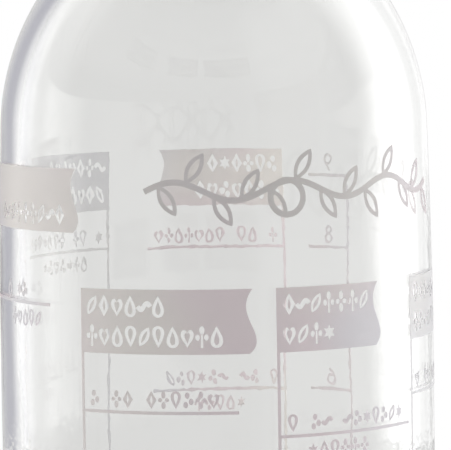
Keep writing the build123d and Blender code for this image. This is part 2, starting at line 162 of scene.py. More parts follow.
class Tree:
    """A node tree; a node is added by its kind, its settings and what goes into its sockets."""

    def __init__(self, tree: NodeTree) -> None:
        """Keeps an emptied tree."""
        self.nodes = tree.nodes
        self.links = tree.links
        self.nodes.clear()

    def node(self, kind: str, settings: dict | None = None, inputs: dict | None = None) -> Node:
        """Adds a node.

        Args:
            kind: Blender's name of the node's type.
            settings: attributes of the node, set before its sockets.
            inputs: what goes into each socket, by its name or number: a constant, a socket or a Value.

        Returns:
            The new node.
        """
        made = self.nodes.new(kind)
        for key, value in (settings or {}).items():
            setattr(made, key, value)
        for key, value in (inputs or {}).items():
            source = value.socket if isinstance(value, Value) else value
            if isinstance(source, NodeSocket):
                self.links.new(source, made.inputs[key])
            else:
                made.inputs[key].default_value = source
        return made

    def value(self, kind: str, settings: dict, inputs: dict, output: str | int = 0) -> Value:
        """Adds a node and returns one of its sockets as a Value."""
        return Value(self, self.node(kind, settings, inputs).outputs[output])

    def calculate(self, operation: str, *numbers: Number) -> Value:
        """Adds a Math node with its numbers in order."""
        return self.value("ShaderNodeMath", {"operation": operation}, dict(enumerate(numbers)))

    def surface(self, shader: Node, output: str = "ShaderNodeOutputMaterial") -> None:
        """Joins a shader to the output of the material, or of the world."""
        self.node(output, {}, {"Surface": shader.outputs[0]})

    def principled(self, inputs: dict[str, Any]) -> None:
        """Makes a Principled shader the material's surface."""
        self.surface(self.node("ShaderNodeBsdfPrincipled", {}, inputs))

    def place(self) -> NodeSocket:
        """The piece's own Object coordinates."""
        return self.node("ShaderNodeTexCoord").outputs["Object"]

    def axis(self, number: int) -> Value:
        """One of the piece's own Object coordinates."""
        return self.value("ShaderNodeSeparateXYZ", {}, {0: self.place()}, number)

    def noise(
        self, scale: float, detail: float = 2.0, stretch: Triple = (1, 1, 1), shift: Triple = (0, 0, 0)
    ) -> Value:
        """Noise on the piece's own Object coordinates, in waves per metre, shifted by some metres."""
        inputs = {"Vector": self.place(), "Scale": stretch, "Location": shift}
        mapped = self.node("ShaderNodeMapping", {}, inputs).outputs[0]
        return self.value("ShaderNodeTexNoise", {}, {"Vector": mapped, "Scale": scale, "Detail": detail})

    def bump(self, height: Value, distance: float) -> NodeSocket:
        """Bumps of a height map, with the distance in metres."""
        return self.node("ShaderNodeBump", {}, {"Height": height, "Distance": distance}).outputs[0]

    def blend(self, share: Number, low: Triple | NodeSocket, high: Triple) -> NodeSocket:
        """Mixes two linear colours by a share; the first may be a socket."""
        inputs = {0: share, 6: low if isinstance(low, NodeSocket) else (*low, 1.0), 7: (*high, 1.0)}
        return self.node("ShaderNodeMix", {"data_type": "RGBA"}, inputs).outputs[2]

    def ray(self, kinds: Sequence[str]) -> Value:
        """1 for a ray of one of Light Path's kinds, and 0 for any other."""
        path = self.node("ShaderNodeLightPath")
        found = Value(self, path.outputs[kinds[0]])
        for kind in kinds[1:]:
            found = self.calculate("MAXIMUM", found, Value(self, path.outputs[kind]))
        return found


def new_material(name: str) -> tuple[Material, Tree]:
    """Makes a material with an empty node tree."""
    made = bpy.data.materials.new(name)
    made.use_nodes = True
    return made, Tree(made.node_tree)


@dataclass(frozen=True)
class GlassFinish:
    """Clear soda glass with a faint smear. Its inside has the ripple of blowing, up to a height."""

    tone: Triple = (0.955, 0.956, 0.948)
    index: float = 1.5
    broad_ripple: float = 260.0
    broad_stretch: Triple = (1, 1, 0.6)
    fine_ripple: float = 900.0
    fine_share: float = 0.45
    ripple_depth: float = 0.000012
    ripple_edge: Pair = (0.118, 0.106)
    smear_scale: float = 45.0
    smear_edge: Pair = (0.45, 0.8)
    smear_roughness: float = 0.012

    def material(self, name: str, rippled: bool) -> Material:
        """Makes the glass.

        Args:
            name: the material's name.
            rippled: whether the face has the ripple of the inside.

        Returns:
            The material.
        """
        made, tree = new_material(name)
        inputs: dict[str, Any] = {
            "Base Color": (*self.tone, 1.0),
            "Roughness": tree.noise(self.smear_scale, 3.0).step(*self.smear_edge) * self.smear_roughness,
            "IOR": self.index,
            "Transmission Weight": 1.0,
        }
        if rippled:
            broad = tree.noise(self.broad_ripple, 1.0, self.broad_stretch)
            ripple = broad + tree.noise(self.fine_ripple, 1.0) * self.fine_share
            below = tree.axis(2).step(*self.ripple_edge)
            inputs["Normal"] = tree.bump(ripple * below, self.ripple_depth)
        tree.principled(inputs)
        return made


@dataclass(frozen=True)
class InkFinish:
    """Enamel print with a soft gloss that light soaks through, in soft patches of three tones."""

    plain: Triple
    cool: Triple
    warm: Triple
    patch_scale: float = 30.0
    patch_edge: Pair = (0.48, 0.62)
    warm_shift: Triple = (0.3, 0.1, 0.2)
    soak: float = 0.6
    roughness: float = 0.5
    grain_scale: float = 1400.0
    grain_roughness: float = 0.15
    grain_depth: float = 0.000006
    coat: float = 0.9
    coat_roughness: float = 0.15

    def material(self, name: str) -> Material:
        """Makes the ink.

        Args:
            name: the material's name.

        Returns:
            The material.
        """
        made, tree = new_material(name)
        grain = tree.noise(self.grain_scale)
        cool = tree.noise(self.patch_scale, 1.0).step(*self.patch_edge)
        warm = tree.noise(self.patch_scale, 1.0, shift=self.warm_shift).step(*self.patch_edge)
        tone = tree.blend(warm, tree.blend(cool, self.plain, self.cool), self.warm)
        bump = tree.bump(grain, self.grain_depth)
        skin = {
            "Base Color": tone,
            "Roughness": self.roughness + (grain - 0.5) * self.grain_roughness,
            "Coat Weight": self.coat,
            "Coat Roughness": self.coat_roughness,
            "Normal": bump,
        }
        shader = tree.node("ShaderNodeBsdfPrincipled", {}, skin)
        soaked = tree.node("ShaderNodeBsdfTranslucent", {}, {"Color": tone, "Normal": bump})
        both = {0: self.soak, 1: shader.outputs[0], 2: soaked.outputs[0]}
        tree.surface(tree.node("ShaderNodeMixShader", {}, both))
        return made


INKS = {
    Ink.PINK: InkFinish((0.89, 0.83, 0.845), (0.86, 0.845, 0.865), (0.885, 0.86, 0.84)),
    Ink.GREY: InkFinish((0.865, 0.855, 0.85), (0.855, 0.85, 0.86), (0.87, 0.86, 0.84)),
    Ink.DARK: InkFinish((0.81, 0.765, 0.775), (0.79, 0.77, 0.785), (0.80, 0.78, 0.765)),
}


@dataclass(frozen=True)
class MouldedFinish:
    """Moulded plastic or silicone with faint flow marks and a fine skin."""

    low: Triple
    high: Triple
    roughness: float = 0.42
    skin_depth: float = 0.00001
    flow_scale: float = 60.0
    inner_light: float = 0.0
    inner_reach: float = 0.002
    flow_stretch: Triple = (1, 1, 2.5)
    flow_edge: Pair = (0.3, 0.7)
    flow_roughness: float = 0.12
    skin_scale: float = 2200.0

    def material(self, name: str) -> Material:
        """Makes the moulded finish.

        Args:
            name: the material's name.

        Returns:
            The material.
        """
        made, tree = new_material(name)
        flow = tree.noise(self.flow_scale, 3.0, self.flow_stretch)
        inputs = {
            "Base Color": tree.blend(flow.step(*self.flow_edge), self.low, self.high),
            "Roughness": self.roughness + (flow - 0.5) * self.flow_roughness,
            "Subsurface Weight": self.inner_light,
            "Subsurface Radius": (1.0, 1.0, 1.0),
            "Subsurface Scale": self.inner_reach,
            "Normal": tree.bump(tree.noise(self.skin_scale), self.skin_depth),
        }
        tree.principled(inputs)
        return made


@dataclass(frozen=True)
class SteelFinish:
    """Drawn steel wire with fine lines along it."""

    low: Triple = (0.52, 0.52, 0.53)
    high: Triple = (0.66, 0.66, 0.67)
    roughness: float = 0.24
    line_roughness: float = 0.16
    line_scale: float = 3000.0
    line_stretch: Triple = (0.05, 1, 1)
    line_edge: Pair = (0.3, 0.7)

    def material(self, name: str) -> Material:
        """Makes the steel.

        Args:
            name: the material's name.

        Returns:
            The material.
        """
        made, tree = new_material(name)
        lines = tree.noise(self.line_scale, stretch=self.line_stretch)
        inputs = {
            "Base Color": tree.blend(lines.step(*self.line_edge), self.low, self.high),
            "Metallic": 1.0,
            "Roughness": self.roughness + lines * self.line_roughness,
        }
        tree.principled(inputs)
        return made


def add_object(name: str, data: ID) -> Object:
    """Makes an object of some data and links it to the scene."""
    made = bpy.data.objects.new(name, data)
    bpy.context.scene.collection.objects.link(made)
    return made


def hide(thing: Object, *rays: str) -> None:
    """Hides an object from some kinds of ray."""
    for ray in rays:
        setattr(thing, f"visible_{ray}", False)


def add_mesh(name: str, points: np.ndarray, faces: Sequence) -> Object:
    """Makes a mesh object from rows of x, y and z in millimetres and the points of each face."""
    mesh = bpy.data.meshes.new(name)
    mesh.from_pydata((points * MM).tolist(), [], faces)
    return add_object(name, mesh)


def new_piece(
    name: str, points: np.ndarray, faces: Sequence, body: Body, sharp_angle: float
) -> Object:
    """Makes a closed piece, faces outwards and smooth but for sharp edges, and puts it on its body.

    Args:
        name: the piece's name.
        points: one row of x, y and z for each vertex, in millimetres.
        faces: the vertices of each face.
        body: what the piece moves with.
        sharp_angle: angle in degrees from which an edge is sharp.

    Returns:
        The new object, at the origin.
    """
    piece = add_mesh(name, points, faces)
    piece.data.validate()
    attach(piece, body.value)
    made = bmesh.new()
    made.from_mesh(piece.data)
    bmesh.ops.recalc_face_normals(made, faces=made.faces)
    made.to_mesh(piece.data)
    made.free()
    shade(piece.data, sharp_angle)
    return piece


def shade(mesh: Mesh, sharp_angle: float) -> None:
    """Shades a mesh smooth but for its edges of an angle, in degrees, or more."""
    mesh.polygons.foreach_set("use_smooth", np.ones(len(mesh.polygons), bool))
    mesh.set_sharp_from_angle(angle=math.radians(sharp_angle))


def polar(centre: Sequence[float], radii: float | Sequence[float], angle: float | np.ndarray) -> np.ndarray:
    """Points about a centre: the centre plus the radii times the cosine and the sine of the angle.

    Args:
        centre: middle of the circle or ellipse.
        radii: one radius, or one across and one up.
        angle: one angle or an array of them, in radians.

    Returns:
        One point, or a row for each angle.
    """
    across, up = np.broadcast_to(radii, 2)
    return np.stack([centre[0] + across * np.cos(angle), centre[1] + up * np.sin(angle)], -1)


def whole_turn(count: int) -> np.ndarray:
    """Evenly spaced angles round a circle."""
    return 2 * math.pi * np.arange(count) / count


def arc(centre: Sequence[float], start: Sequence[float], end: Sequence[float], count: int) -> np.ndarray:
    """Points on a circle about a centre, up to and without the end, which is reached the short way round.

    Args:
        centre: middle of the circle.
        start: first point, which is on the circle.
        end: a point in the direction of the last one.
        count: number of steps.

    Returns:
        The points.
    """
    first = math.atan2(start[1] - centre[1], start[0] - centre[0])
    turn = math.atan2(end[1] - centre[1], end[0] - centre[0]) - first
    turn = (turn + math.pi) % (2 * math.pi) - math.pi
    return polar(centre, math.dist(centre, start), first + turn * np.arange(count) / count)


def line(start: Sequence[float], end: Sequence[float], count: int) -> np.ndarray:
    """Evenly spaced points from start up to, and without, end."""
    share = np.arange(count)[:, None] / count
    return np.array(start) * (1 - share) + np.array(end) * share


def revolved(profile: np.ndarray, segments: int) -> tuple[np.ndarray, list]:
    """Carries a profile round the axis: x and y are the radius times the cosine and sine of the turn.

    Args:
        profile: rows of radius and height, the first and the last on the axis.
        segments: steps round the axis.

    Returns:
        The points, with each pole as one, and the faces: the quads, then the first pole's, then the last's.
    """
    turn = whole_turn(segments)
    rings = profile[1:-1]
    radius = rings[:, :1]
    height = np.broadcast_to(rings[:, 1:], (len(rings), segments))
    grid = np.stack([radius * np.cos(turn), radius * np.sin(turn), height], 2)
    poles = np.array([[0, 0, profile[0, 1]], [0, 0, profile[-1, 1]]])
    points = np.concatenate([grid.reshape(-1, 3), poles])
    index = np.arange(len(rings) * segments).reshape(len(rings), segments)
    beside = np.roll(index, -1, 1)
    quads = np.stack([index[:-1], beside[:-1], beside[1:], index[1:]], 2).reshape(-1, 4)
    first, last = len(points) - 2, len(points) - 1
    low = np.stack([np.full(segments, first), beside[0], index[0]], 1)
    high = np.stack([np.full(segments, last), index[-1], beside[-1]], 1)
    return points, quads.tolist() + low.tolist() + high.tolist()


@dataclass
class GlassBottle:
    """Bottle of one closed glass surface: foot, belly, round shoulder, threaded neck, rim and inside."""

    body_radius: float = 31.9
    belly_top: float = 76.7
    draw_in: float = 0.6
    shoulder_start: float = 115.2
    shoulder_radius: float = 37.0
    wall: float = 2.75
    heel_radius: float = 5.0
    foot_ring: float = 3.0
    push_up: float = 2.5
    base_thickness: float = 4.3
    floor_edge: float = 4.8
    floor_corner: float = 8.0
    neck_radius: float = 17.6
    neck_wall: float = 2.9
    neck_fillet: float = 7.0
    rim_rounding: float = 1.2
    bead_rise: float = 5.2
    bead_half: float = 1.9
    bead_reach: float = 1.7
    thread_pitch: float = 4.2
    thread_turns: float = 1.4
    thread_rise: float = 5.3
    thread_reach: float = 1.2
    thread_root: float = 2.4
    thread_crest: float = 1.0
    thread_run_out: float = 0.04
    rim_height: float = 167.0
    segments: int = 216
    sharp_angle: float = 50.0
    uneven: float = 0.015
    uneven_heights: tuple[float, ...] = (14.0, 26.0, 115.0, 135.0)

    def __post_init__(self) -> None:
        """Works out the two arcs of the body and the places that hang on them."""
        rise = self.shoulder_start - self.belly_top
        self.side_arc = (rise**2 + self.draw_in**2) / (2 * self.draw_in)
        self.side_centre = (self.body_radius - self.side_arc, self.belly_top)
        self.tilt = math.asin(rise / self.side_arc)
        self.shoulder_centre = polar(self.side_centre, self.side_arc - self.shoulder_radius, self.tilt)
        self.bead_height = self._shoulder(0, self.neck_radius, self.neck_fillet)[1] + self.bead_rise
        self.thread_start = self.bead_height + self.thread_rise

    def side_radius(self, height: np.ndarray) -> np.ndarray:
        """Radius of the outside: plain up to the belly's top, then on one arc, then on the shoulder's.

        Args:
            height: heights above the table.

        Returns:
            The radius at each height.
        """
        over = np.clip(height - self.belly_top, 0, None)
        side = self.side_centre[0] + np.sqrt(self.side_arc**2 - over**2)
        round_rise = np.clip(height - self.shoulder_centre[1], 0, self.shoulder_radius)
        shoulder = self.shoulder_centre[0] + np.sqrt(self.shoulder_radius**2 - round_rise**2)
        return np.where(height > self.shoulder_start, shoulder, side)

    def _shoulder(self, inset: float, neck: float, fillet: float) -> tuple[np.ndarray, float]:
        """Body arc, shoulder arc and neck fillet of one face of the glass.

        Args:
            inset: how far the face lies inside the bottle's outside.
            neck: the face's radius in the neck.
            fillet: radius of the fillet between shoulder and neck.

        Returns:
            The points, and the height where they end.
        """
        belly = (self.body_radius - inset, self.belly_top)
        start = polar(self.side_centre, self.side_arc - inset, self.tilt)
        radius = self.shoulder_radius - inset
        x, z = self.shoulder_centre
        centre = (neck + fillet, z + math.sqrt((radius + fillet) ** 2 - (neck + fillet - x) ** 2))
        share = radius / (radius + fillet)
        meet = (x + (centre[0] - x) * share, z + (centre[1] - z) * share)
        points = [
            arc(self.side_centre, belly, start, 26),
            arc(self.shoulder_centre, start, meet, 30),
            arc(centre, meet, (neck, centre[1]), 14),
        ]
        return np.concatenate(points), centre[1]

    def outside(self) -> np.ndarray:
        """Profile of the outside from the middle of the base to the middle of the rim."""
        heel = self.body_radius - self.heel_radius
        foot = heel - self.foot_ring
        sweep = (foot**2 + self.push_up**2) / (2 * self.push_up)
        shoulder, neck_foot = self._shoulder(0, self.neck_radius, self.neck_fillet)
        bead_low = (self.neck_radius, self.bead_height - self.bead_half)
        bead_high = (self.neck_radius, self.bead_height + self.bead_half)
        half_turn = np.linspace(-math.pi / 2, math.pi / 2, 13)[:-1]
        rim = (self.neck_radius, self.rim_height - self.rim_rounding)
        rim_centre = (self.neck_radius - self.rim_rounding, rim[1])
        parts = [
            arc((0, self.push_up - sweep), (0, self.push_up), (foot, 0), 16),
            line((foot, 0), (heel, 0), 4),
            arc((heel, self.heel_radius), (heel, 0), (self.body_radius, self.heel_radius), 12),
            line((self.body_radius, self.heel_radius), (self.body_radius, self.belly_top), 30),
            shoulder,
            line((self.neck_radius, neck_foot), bead_low, 4),
            polar((self.neck_radius, self.bead_height), (self.bead_reach, self.bead_half), half_turn),
            line(bead_high, rim, 56),
            arc(rim_centre, rim, (rim_centre[0], self.rim_height), 8),
        ]
        return np.concatenate(parts)

    def inside(self) -> np.ndarray:
        """Profile of the inside from the middle of the rim to the middle of the floor."""
        bore = self.neck_radius - self.neck_wall
        shoulder, neck_foot = self._shoulder(self.wall, bore, self.neck_fillet + self.neck_wall)
        top = (bore + self.rim_rounding, self.rim_height)
        side = (bore, self.rim_height - self.rim_rounding)
        inner = self.body_radius - self.wall
        corner = (inner - self.floor_corner, self.floor_edge + self.floor_corner)
        crown = self.push_up + self.base_thickness
        drop = crown - self.floor_edge
        sweep = (corner[0] ** 2 + drop**2) / (2 * drop)
        parts = [
            line((self.neck_radius - self.rim_rounding, self.rim_height), top, 2),
            arc((top[0], side[1]), top, side, 8),
            line(side, (bore, neck_foot), 14),
            shoulder[::-1],
            line((inner, self.belly_top), (inner, corner[1]), 28),
            arc(corner, (inner, corner[1]), (corner[0], self.floor_edge), 14),
            arc((0, crown - sweep), (0, crown), (corner[0], self.floor_edge), 16)[::-1],
        ]
        return np.concatenate(parts)

    def _ridge(self, points: np.ndarray) -> np.ndarray:
        """How far the thread stands out at each point.

        The ridge's middle climbs by one pitch a turn. Its height falls in a straight line from the crest's
        edge to the root's, and it runs out over a short stretch at either end.

        Args:
            points: x, y and z of each vertex.

        Returns:
            The rise of each vertex, 0 off the thread.
        """
        turn = np.arctan2(points[:, 1], points[:, 0]) / (2 * math.pi) % 1.0
        flank = (self.thread_root - self.thread_crest) / 2
        rise = np.zeros(len(points))
        for lap in range(math.ceil(self.thread_turns)):
            along = turn + lap
            away = np.abs(points[:, 2] - self.thread_start - self.thread_pitch * along)
            slope = np.clip((self.thread_root / 2 - away) / flank, 0, 1)
            end = np.clip(np.minimum(along, self.thread_turns - along) / self.thread_run_out, 0, 1)
            rise = np.maximum(rise, self.thread_reach * slope * end * (3 - 2 * end) * end)
        return rise

    def _unevenness(self, points: np.ndarray) -> np.ndarray:
        """Thickness that the inside loses or gains: a sum of slow waves round and up the bottle.

        Args:
            points: x, y and z of each vertex.

        Returns:
            How far out each vertex moves.
        """
        turn = np.arctan2(points[:, 1], points[:, 0])
        z = points[:, 2]
        waves = np.sin(3 * turn + 0.045 * z) + 0.8 * np.sin(7 * turn - 0.11 * z + 1.0)
        waves += 0.5 * np.sin(2 * turn + 0.31 * z + 2.0) + 0.4 * np.sin(13 * turn + 0.23 * z + 0.5)
        return self.uneven * waves * np.interp(z, self.uneven_heights, (0, 1, 1, 0))

    def build(self, finish: GlassFinish) -> Object:
        """Makes the bottle.

        Args:
            finish: the glass.

        Returns:
            The piece that stands for the CAD bottle.
        """
        outside = self.outside()
        points, faces = revolved(np.concatenate([outside, self.inside()]), self.segments)
        outer_count = (len(outside) - 1) * self.segments
        radius = np.hypot(points[:, 0], points[:, 1])
        outer = points[:outer_count]
        rounding = 0.01
        on_neck = outer[:, 2] > self.bead_height + self.bead_half
        on_neck &= radius[:outer_count] > self.neck_radius - rounding
        lift = np.zeros(len(points))
        lift[:outer_count] = self._ridge(outer) * on_neck
        lift[outer_count:-2] = self._unevenness(points[outer_count:-2])
        points[:, :2] *= (1 + lift / np.maximum(radius, 1))[:, None]
        piece = new_piece("bottle_glass", points, faces, Body.BOTTLE, self.sharp_angle)
        piece.data.materials.append(finish.material("glass_outside", False))
        piece.data.materials.append(finish.material("glass_inside", True))
        inner = np.zeros(len(piece.data.polygons), np.int32)
        inner[outer_count : -2 * self.segments] = 1
        inner[-self.segments :] = 1
        piece.data.polygons.foreach_set("material_index", inner)
        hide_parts("glass_bottle")
        return piece


def stroke_loops(path: np.ndarray, width: float, closed: bool) -> list[Loop]:
    """Outline of a stroke: the path moved half a width to either side along its normal.

    Args:
        path: points of the stroke's middle.
        width: the stroke's width.
        closed: whether the stroke comes back to its start.

    Returns:
        Two loops for a closed stroke, one for an open one.
    """
    along = np.roll(path, -1, 0) - np.roll(path, 1, 0) if closed else np.gradient(path, axis=0)
    normal = np.stack([-along[:, 1], along[:, 0]], 1)
    normal /= np.maximum(np.linalg.norm(normal, axis=1, keepdims=True), 1e-9)
    left, right = path + normal * width / 2, path - normal * width / 2
    return [left, right] if closed else [np.concatenate([left, right[::-1]])]


@dataclass(frozen=True)
class Leaf:
    """Pointed leaf with a hollow: its half width is a power of the sine of the share along it."""

    length: float
    width: float
    stroke: float
    fullness: float = 0.8
    hollow_start: float = 0.16
    hollow_length: float = 0.66
    steps: int = 13

    def loops(self, base: Sequence[float], direction: float) -> list[Loop]:
        """The outer and the inner loop of the leaf.

        Args:
            base: the leaf's foot.
            direction: way that it points, in radians.

        Returns:
            The two loops.
        """
        there, back = np.linspace(0, 1, self.steps), np.linspace(1, 0, self.steps)[1:-1]
        share = np.concatenate([there, back])
        side = np.sin(math.pi * share) ** self.fullness * np.repeat((1, -1), (len(there), len(back)))
        along = np.array([math.cos(direction), math.sin(direction)])
        normal = np.array([-along[1], along[0]])
        reaches = (share, self.hollow_start + self.hollow_length * share)
        halves = (self.width / 2, self.width / 2 - self.stroke)
        return [
            np.array(base) + np.outer(reach * self.length, along) + np.outer(side * half, normal)
            for reach, half in zip(reaches, halves)
        ]


SEED_RADII = (0.22, 0.18)
LEAFLET_RADII = (0.17, 0.14)
UPRIGHT_PETAL = (0.2, 0.2)
LEVEL_PETAL = (0.19, 0.12)
SPOTS = {
    Mark.SEEDS: (((-0.24, -0.26), SEED_RADII), ((0.25, -0.08), SEED_RADII), ((-0.1, 0.26), SEED_RADII)),
    Mark.FLOWER: (
        ((0, 0.29), UPRIGHT_PETAL),
        ((0, -0.29), UPRIGHT_PETAL),
        ((0.31, 0), LEVEL_PETAL),
        ((-0.31, 0), LEVEL_PETAL),
    ),
    Mark.SPRIG: (
        ((0, 0.31), (0.19, 0.19)),
        ((0.33, -0.02), LEAFLET_RADII),
        ((-0.33, -0.02), LEAFLET_RADII),
    ),
}
SPRIG_STEM = ((-0.09, -0.5), (0.09, -0.5), (0.07, 0.1), (-0.07, 0.1))
LEAF_LEAN = math.radians(62)


def hollow_mark(mark: Mark) -> tuple[Loop, float]:
    """Outer loop of a hollow mark in a box one wide and one high.

    Args:
        mark: a drop, bud, heart or diamond.

    Returns:
        The loop, and the height of the point that the hollow shrinks to.
    """
    turn = whole_turn(28)
    across, up = np.sin(turn), np.cos(turn)
    drop = np.stack([0.65 * across * np.sin(turn / 2) ** 1.3, 0.5 * up], 1)
    if mark is Mark.DROP:
        return drop, -0.16
    if mark is Mark.BUD:
        return drop * (1, -1), 0.16
    if mark is Mark.HEART:
        tall = (13 * up - 5 * np.cos(2 * turn) - 2 * np.cos(3 * turn) - np.cos(4 * turn)) / 34
        return np.stack([0.5 * across**3, tall - 0.02], 1), 0.0
    return np.array([(0, 0.5), (-0.5, 0), (0, -0.5), (0.5, 0)]), 0.0


def mark_loops(mark: Mark, middle: Sequence[float], size: Sequence[float], width: float) -> list[Loop]:
    """Loops of a mark at a place; no two of them cross.

    Args:
        mark: which sign.
        middle: its middle.
        size: its width and its height.
        width: width of its line.

    Returns:
        The loops, where a loop in another is a hollow.
    """
    place, box = np.array(middle, float), np.array(size, float)
    spots = [polar(place + box * spot, box * radii, whole_turn(20)) for spot, radii in SPOTS.get(mark, ())]
    if mark is Mark.SPRIG:
        return [SPRIG_STEM * box + place, *spots]
    if spots:
        return spots
    if mark is Mark.LEAF:
        leaf = Leaf(0.98 * box[1], 0.74 * box[0], 0.85 * width)
        return leaf.loops(polar(place, -leaf.length / 2, LEAF_LEAN), LEAF_LEAN)
    if mark is Mark.WAVE:
        share = np.linspace(-0.5, 0.5, 15)
        path = np.stack([share, 0.15 * np.sin(2 * math.pi * share)], 1) * box + place
        return stroke_loops(path, 1.25 * width, False)
    if mark is Mark.STAR:
        turn = whole_turn(12)
        reach = np.where(np.arange(12) % 2, 0.27, 0.54)
        return [np.stack([reach * np.sin(turn), 0.72 * reach * np.cos(turn)], 1) * box + place]
    outer, centre = hollow_mark(mark)
    shrink = 1 - (2.6 if mark is Mark.DIAMOND else 2.1) * width / box
    inner = (outer - (0, centre)) * shrink + (0, centre)
    return [outer * box + place, inner * box + place]


@dataclass(frozen=True)
class Lettering:
    """A row of marks in the place of words, with its height, its step and each mark's width and stroke."""

    height: float
    step: float
    mark_width: float
    stroke: float

    def loops(self, start: float, base: float, marks: Sequence[Mark | None]) -> list[Loop]:
        """Outlines of a row of marks.

        Args:
            start: x of the row's left end.
            base: y of the row's foot.
            marks: the row's marks, where None leaves a space.

        Returns:
            The loops of all the marks.
        """
        found: list[Loop] = []
        for i, mark in enumerate(marks):
            if mark is not None:
                middle = (start + self.step * i + self.mark_width / 2, base + self.height / 2)
                found += mark_loops(mark, middle, (self.mark_width, self.height), self.stroke)
        return found


TITLE_MARKS = Lettering(3.0, 2.04, 1.84, 0.52)
LINE_MARKS = Lettering(2.5, 1.75, 1.54, 0.44)


def row_of_marks(count: int, seed: int, gaps: Sequence[int] = ()) -> list[Mark | None]:
    """A row of marks with no mark twice in a row, and spaces at some places."""
    marks = list(Mark)
    return [None if i in gaps else marks[(seed + 3 * i + i * i // 4) % len(marks)] for i in range(count)]


def digit_strokes(digit: str) -> list[tuple[np.ndarray, bool]]:
    """Middle lines of a plain numeral in a box 0.6 wide and 1 high, from ellipses and straight lines.

    Args:
        digit: 2, 4, 6, 8 or 9.

    Returns:
        Each stroke's points, and whether it is closed.
    """
    turn = whole_turn(28)
    if digit == "8":
        return [(polar((0.3, 0.76), (0.21, 0.22), turn), True), (polar((0.3, 0.27), 0.27, turn), True)]
    if digit == "6":
        tail = np.array([[0.46, 1.0], [0.3, 0.82], [0.14, 0.58], [0.06, 0.4]])
        return [(polar((0.3, 0.28), (0.27, 0.28), turn), True), (tail, False)]
    if digit == "9":
        tail = np.array([[0.14, 0.0], [0.3, 0.18], [0.46, 0.42], [0.54, 0.6]])
        return [(polar((0.3, 0.72), (0.27, 0.28), turn), True), (tail, False)]
    if digit == "4":
        return [(np.array([[0.6, 0.28], [0.0, 0.28], [0.44, 1.0], [0.44, 0.0]]), False)]
    top = polar((0.3, 0.72), (0.26, 0.28), math.radians(160) - np.linspace(0, math.pi, 22))
    return [(np.concatenate([top, [[0.02, 0.0], [0.6, 0.0]]]), False)]


def filled(layers: Sequence[Sequence[Loop]], cuts: Sequence[Loop]) -> tuple[np.ndarray, np.ndarray]:
    """Fills flat layers of loops with triangles, where a loop in another of its layer is a hole.

    All loops and cuts go into one triangulation. A triangle is kept if an odd number of the loops of any
    one layer goes round it, so layers that cross are joined.

    Args:
        layers: loops of x and y, a list for each layer.
        cuts: lines, of two points each, that no triangle crosses.

    Returns:
        The points and the triangles, which turn to the left.
    """
    loops, owners = [], []
    for i, layer in enumerate(layers):
        for loop in layer:
            ahead = np.roll(loop, -1, 0)
            turns_left = (loop[:, 0] * ahead[:, 1] - loop[:, 1] * ahead[:, 0]).sum() > 0
            loops.append(loop if turns_left else loop[::-1])
            owners.append(i)
    starts = np.cumsum([0, *(len(loop) for loop in loops)]).tolist()
    rings = [list(range(start, start + len(loop))) for start, loop in zip(starts, loops)]
    ends = [(starts[-1] + 2 * i, starts[-1] + 2 * i + 1) for i in range(len(cuts))]
    places = [Vector(point) for point in np.concatenate([*loops, *cuts]).tolist()]
    points, _, triangles, _, _, sources = delaunay_2d_cdt(places, ends, rings, 0, 1e-5)
    kept = []
    for triangle, inside in zip(triangles, sources):
        counts = np.bincount([owners[i] for i in inside], minlength=1)
        if (counts % 2).any():
            kept.append(triangle)
    used, index = np.unique(np.array(kept), return_inverse=True)
    return np.array([tuple(points[i]) for i in used]), index.reshape(-1, 3)


def thickened(points: np.ndarray, triangles: np.ndarray) -> tuple[np.ndarray, list]:
    """Closed solid one unit deep over flat triangles: they, their underside and a wall at each open edge.

    Args:
        points: x and y of each point.
        triangles: three points each.

    Returns:
        The points, with z of 0 for the underside and 1 for the top, and the faces.
    """
    count = len(points)
    under = np.pad(points, ((0, 0), (0, 1)))
    edges = np.concatenate([triangles[:, [0, 1]], triangles[:, [1, 2]], triangles[:, [2, 0]]])
    key, back = edges @ (count, 1), edges @ (1, count)
    start, end = edges[~np.isin(key, back)].T
    walls = np.stack([start, end, end + count, start + count], 1)
    faces = (triangles + count).tolist() + triangles[:, ::-1].tolist() + walls.tolist()
    return np.concatenate([under, under + (0, 0, 1)]), faces


